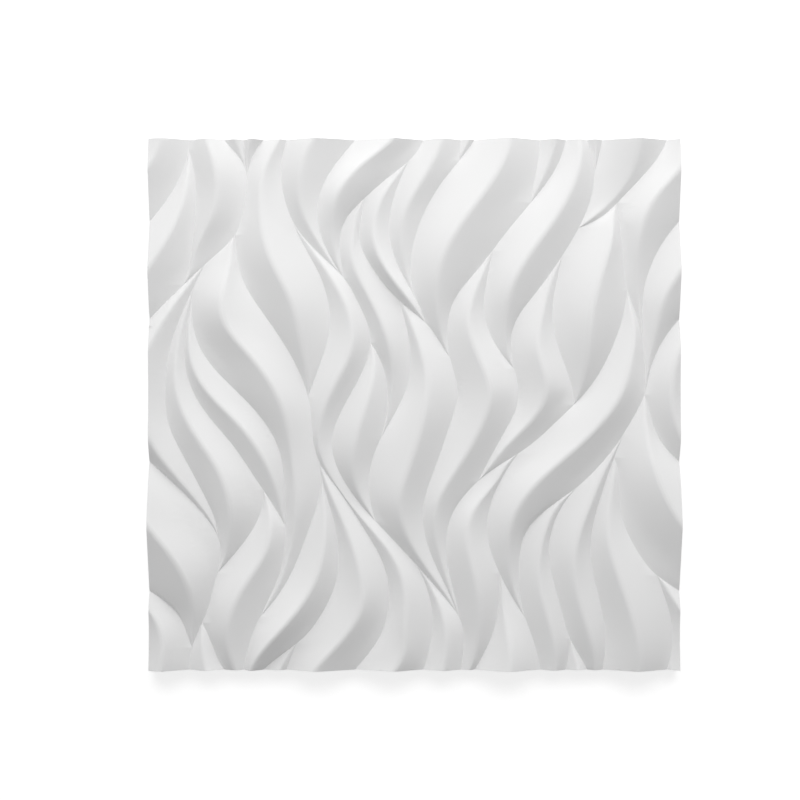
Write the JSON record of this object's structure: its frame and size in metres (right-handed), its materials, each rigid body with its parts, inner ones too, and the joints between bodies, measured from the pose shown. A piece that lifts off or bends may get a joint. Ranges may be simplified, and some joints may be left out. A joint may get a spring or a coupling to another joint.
{
  "type": "3d wall panel tile",
  "caption": "Square cast plaster wall panel with a seamless relief of long wavy blades between sharp valleys, glued to a wall by its flat back.",
  "frame": {"origin": "middle of the flat back, which lies on the floor", "axes": "+Z out of the relief face, +X to the right and +Y up the face as the panel hangs on a wall"},
  "size_m": [0.5, 0.5, 0.0305],
  "materials": {
    "plaster": "matt white cast gypsum plaster"
  },
  "bodies": {
    "root": {"wall_panel": "plaster"}
  },
  "joints": []
}
